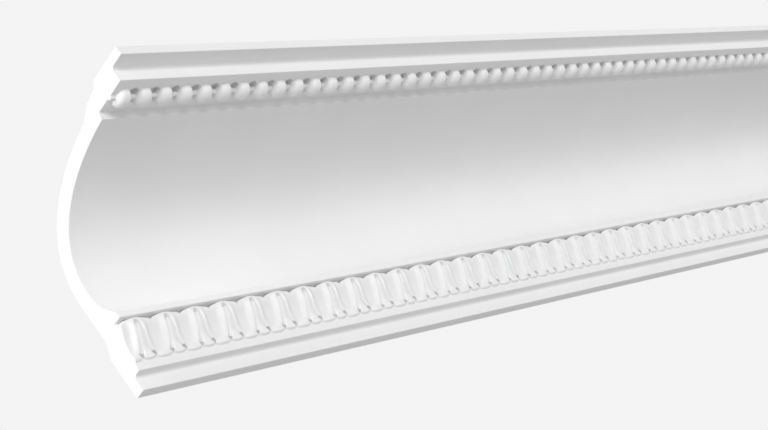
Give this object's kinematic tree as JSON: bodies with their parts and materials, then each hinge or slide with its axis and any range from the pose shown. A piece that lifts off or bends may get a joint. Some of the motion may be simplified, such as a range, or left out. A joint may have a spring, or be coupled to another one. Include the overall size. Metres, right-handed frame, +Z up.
{
  "type": "cornice moulding section",
  "caption": "Cast cove cornice section with stepped fillets, a beaded soffit and a leaf-carved wall band, to be glued in the corner of wall and ceiling.",
  "frame": {"origin": "middle of the face that is glued to the wall", "axes": "+X along the run, +Y into the wall, +Z up to the ceiling"},
  "size_m": [1.06, 0.161, 0.172],
  "materials": {
    "moulding": "primed matt white"
  },
  "bodies": {
    "root": {"cornice_moulding": "moulding"}
  },
  "joints": []
}
